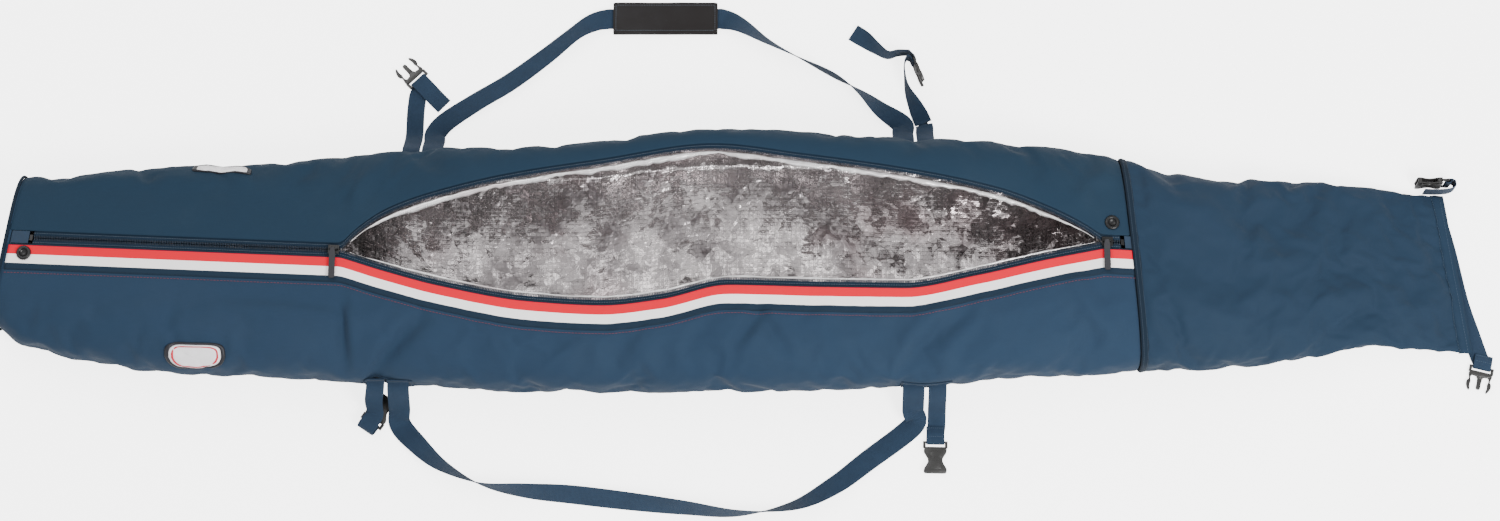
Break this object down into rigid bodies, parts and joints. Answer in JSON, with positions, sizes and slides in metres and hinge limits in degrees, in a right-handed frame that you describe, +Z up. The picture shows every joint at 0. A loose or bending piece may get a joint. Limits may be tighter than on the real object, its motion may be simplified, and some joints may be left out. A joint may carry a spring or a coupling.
{
  "type": "ski bag",
  "caption": "Long padded ski bag lying open on its base, with a part-open two-slider zip, foil lining, carrying handles, buckled straps and a roll-up end.",
  "frame": {"origin": "middle of the base panel's flat underside, on the floor", "axes": "+X along the bag towards the roll-up end, +Y to the rear side, +Z up"},
  "size_m": [2.0737, 0.7455, 0.1501],
  "materials": {
    "shell_fabric": "navy woven polyester, matt",
    "foam": "closed-cell foam padding",
    "foil": "metallised ripstop, crinkled",
    "webbing": "navy ribbed webbing",
    "piping": "dark woven binding",
    "striped_ribbon": "red, white and navy woven ribbon",
    "zip_tape": "woven zip tape",
    "zip_coil": "moulded nylon coil",
    "black_metal": "black enamelled metal",
    "pull_rubber": "moulded rubber",
    "grip_pad": "black padded fabric with touch fastener",
    "patch": "plain raised patch",
    "label": "plain woven label",
    "buckle_plastic": "moulded acetal, fine grain"
  },
  "bodies": {
    "bag": {"base_panel": "shell_fabric", "front_panel": "shell_fabric", "rear_panel": "shell_fabric", "end_panel": "shell_fabric", "zip_tab_left": "shell_fabric", "zip_tab_right": "shell_fabric", "extension_top": "shell_fabric", "extension_base": "shell_fabric", "cross_seam_binding": "shell_fabric", "base_foam": "foam", "front_foam": "foam", "rear_foam": "foam", "end_foam": "foam", "foil_lining": "foil", "end_lining": "foil", "anchor_front_left": "webbing", "anchor_front_right": "webbing", "anchor_rear_left": "webbing", "anchor_rear_right": "webbing", "end_piping": "piping", "striped_ribbon": "striped_ribbon", "zip_tape_front": "zip_tape", "zip_tape_rear": "zip_tape", "zip_coil_front": "zip_coil", "zip_coil_rear": "zip_coil", "zip_stop_left": "black_metal", "zip_stop_right": "black_metal", "eyelet_left": "black_metal", "eyelet_right": "black_metal", "eyelet_washer_left": "black_metal", "eyelet_washer_right": "black_metal", "round_patch": "patch", "side_label": "label"},
    "slider_left": {"slider_left": "black_metal"},
    "pull_left": {"pull_tab_left": "pull_rubber"},
    "slider_right": {"slider_right": "black_metal"},
    "pull_right": {"pull_tab_right": "pull_rubber"},
    "front_handle": {"handle_front": "webbing"},
    "rear_handle": {"handle_rear": "webbing", "grip_lower_leaf": "grip_pad", "grip_loop_strip": "grip_pad"},
    "grip_flap": {"grip_flap": "grip_pad", "grip_hook_strip": "grip_pad"},
    "strap_front_left": {"strap_front_left": "webbing"},
    "buckle_front_left": {"buckle_female_front_left": "buckle_plastic"},
    "strap_front_right": {"strap_front_right": "webbing"},
    "buckle_front_right": {"buckle_female_front_right": "buckle_plastic"},
    "strap_rear_left": {"strap_rear_left": "webbing"},
    "buckle_rear_left": {"buckle_male_rear_left": "buckle_plastic"},
    "strap_rear_right": {"strap_rear_right": "webbing"},
    "buckle_rear_right": {"buckle_male_rear_right": "buckle_plastic"},
    "roll_end": {"roll_end_top": "shell_fabric", "roll_end_base": "shell_fabric", "hem_closure": "shell_fabric", "roll_webbing_front": "webbing", "roll_webbing_rear": "webbing"},
    "buckle_roll_rear": {"buckle_female_roll_rear": "buckle_plastic"},
    "buckle_roll_front": {"buckle_male_roll_front": "buckle_plastic"}
  },
  "joints": [
    {"name": "left_slider_run", "type": "slide", "parent": "bag", "child": "slider_left", "axis": [-0.9983, 0.0499, -0.0304], "range_m": [0, 0.36]},
    {"name": "right_slider_run", "type": "slide", "parent": "bag", "child": "slider_right", "axis": [0.9989, -0.0444, -0.0171], "range_m": [0, 0.008]},
    {"name": "left_pull_swing", "type": "hinge", "parent": "slider_left", "child": "pull_left", "pos_m": [-0.57021, -0.01599, 0.11539], "axis": [-0.9983, 0.0499, -0.0304], "range_deg": [0, 160]},
    {"name": "right_pull_swing", "type": "hinge", "parent": "slider_right", "child": "pull_right", "pos_m": [0.49012, -0.00336, 0.11159], "axis": [-0.9989, 0.0444, 0.0171], "range_deg": [0, 160]},
    {"name": "front_handle_lift", "type": "hinge", "parent": "bag", "child": "front_handle", "pos_m": [-0.483, -0.18845, 0.0518], "axis": [-1, 0.0034, 0], "range_deg": [0, 95]},
    {"name": "rear_handle_lift", "type": "hinge", "parent": "bag", "child": "rear_handle", "pos_m": [-0.444, 0.13844, 0.0518], "axis": [0.9998, 0.0199, 0], "range_deg": [0, 95]},
    {"name": "grip_flap_fold", "type": "hinge", "parent": "rear_handle", "child": "grip_flap", "pos_m": [-0.195, 0.3794, 0.0051], "axis": [-1, 0, 0], "range_deg": [0, 150]},
    {"name": "strap_front_right_lift", "type": "hinge", "parent": "bag", "child": "strap_front_right", "pos_m": [0.2575, -0.18924, 0.0518], "axis": [-1, 0, 0], "range_deg": [0, 95]},
    {"name": "strap_rear_left_lift", "type": "hinge", "parent": "bag", "child": "strap_rear_left", "pos_m": [-0.474, 0.13776, 0.0518], "axis": [1, 0, 0], "range_deg": [0, 95]},
    {"name": "strap_rear_right_lift", "type": "hinge", "parent": "bag", "child": "strap_rear_right", "pos_m": [0.246, 0.15042, 0.0518], "axis": [1, 0, 0], "range_deg": [0, 95]},
    {"name": "strap_front_left_swing", "type": "hinge", "parent": "bag", "child": "strap_front_left", "pos_m": [-0.5265, -0.18636, 0.0518], "axis": [0, 0, -1], "range_deg": [0, 60]},
    {"name": "buckle_front_left_swing", "type": "hinge", "parent": "strap_front_left", "child": "buckle_front_left", "pos_m": [-0.5235, -0.235, 0.0046], "axis": [-0.829, 0.5592, 0], "range_deg": [0, 100]},
    {"name": "buckle_front_right_swing", "type": "hinge", "parent": "strap_front_right", "child": "buckle_front_right", "pos_m": [0.2555, -0.262, 0.0044], "axis": [-0.9998, 0.0175, 0], "range_deg": [0, 75]},
    {"name": "buckle_rear_left_swing", "type": "hinge", "parent": "strap_rear_left", "child": "buckle_rear_left", "pos_m": [-0.47, 0.264, 0.0042], "axis": [0.7193, 0.6947, 0], "range_deg": [0, 75]},
    {"name": "buckle_rear_right_swing", "type": "hinge", "parent": "strap_rear_right", "child": "buckle_rear_right", "pos_m": [0.232, 0.288, 0.0174], "axis": [0, 0, 1], "range_deg": [0, 60]},
    {"name": "roll_end_fold", "type": "hinge", "parent": "bag", "child": "roll_end", "pos_m": [0.8, 0, 0.061], "axis": [0.1102, -0.9939, 0], "range_deg": [0, 150]},
    {"name": "buckle_roll_rear_swing", "type": "hinge", "parent": "roll_end", "child": "buckle_roll_rear", "pos_m": [0.978, 0.108, 0.0174], "axis": [0, 0, -1], "range_deg": [0, 80]},
    {"name": "buckle_roll_front_swing", "type": "hinge", "parent": "roll_end", "child": "buckle_roll_front", "pos_m": [1.015, -0.156, 0.0042], "axis": [-0.9703, 0.2419, 0], "range_deg": [0, 75]}
  ]
}
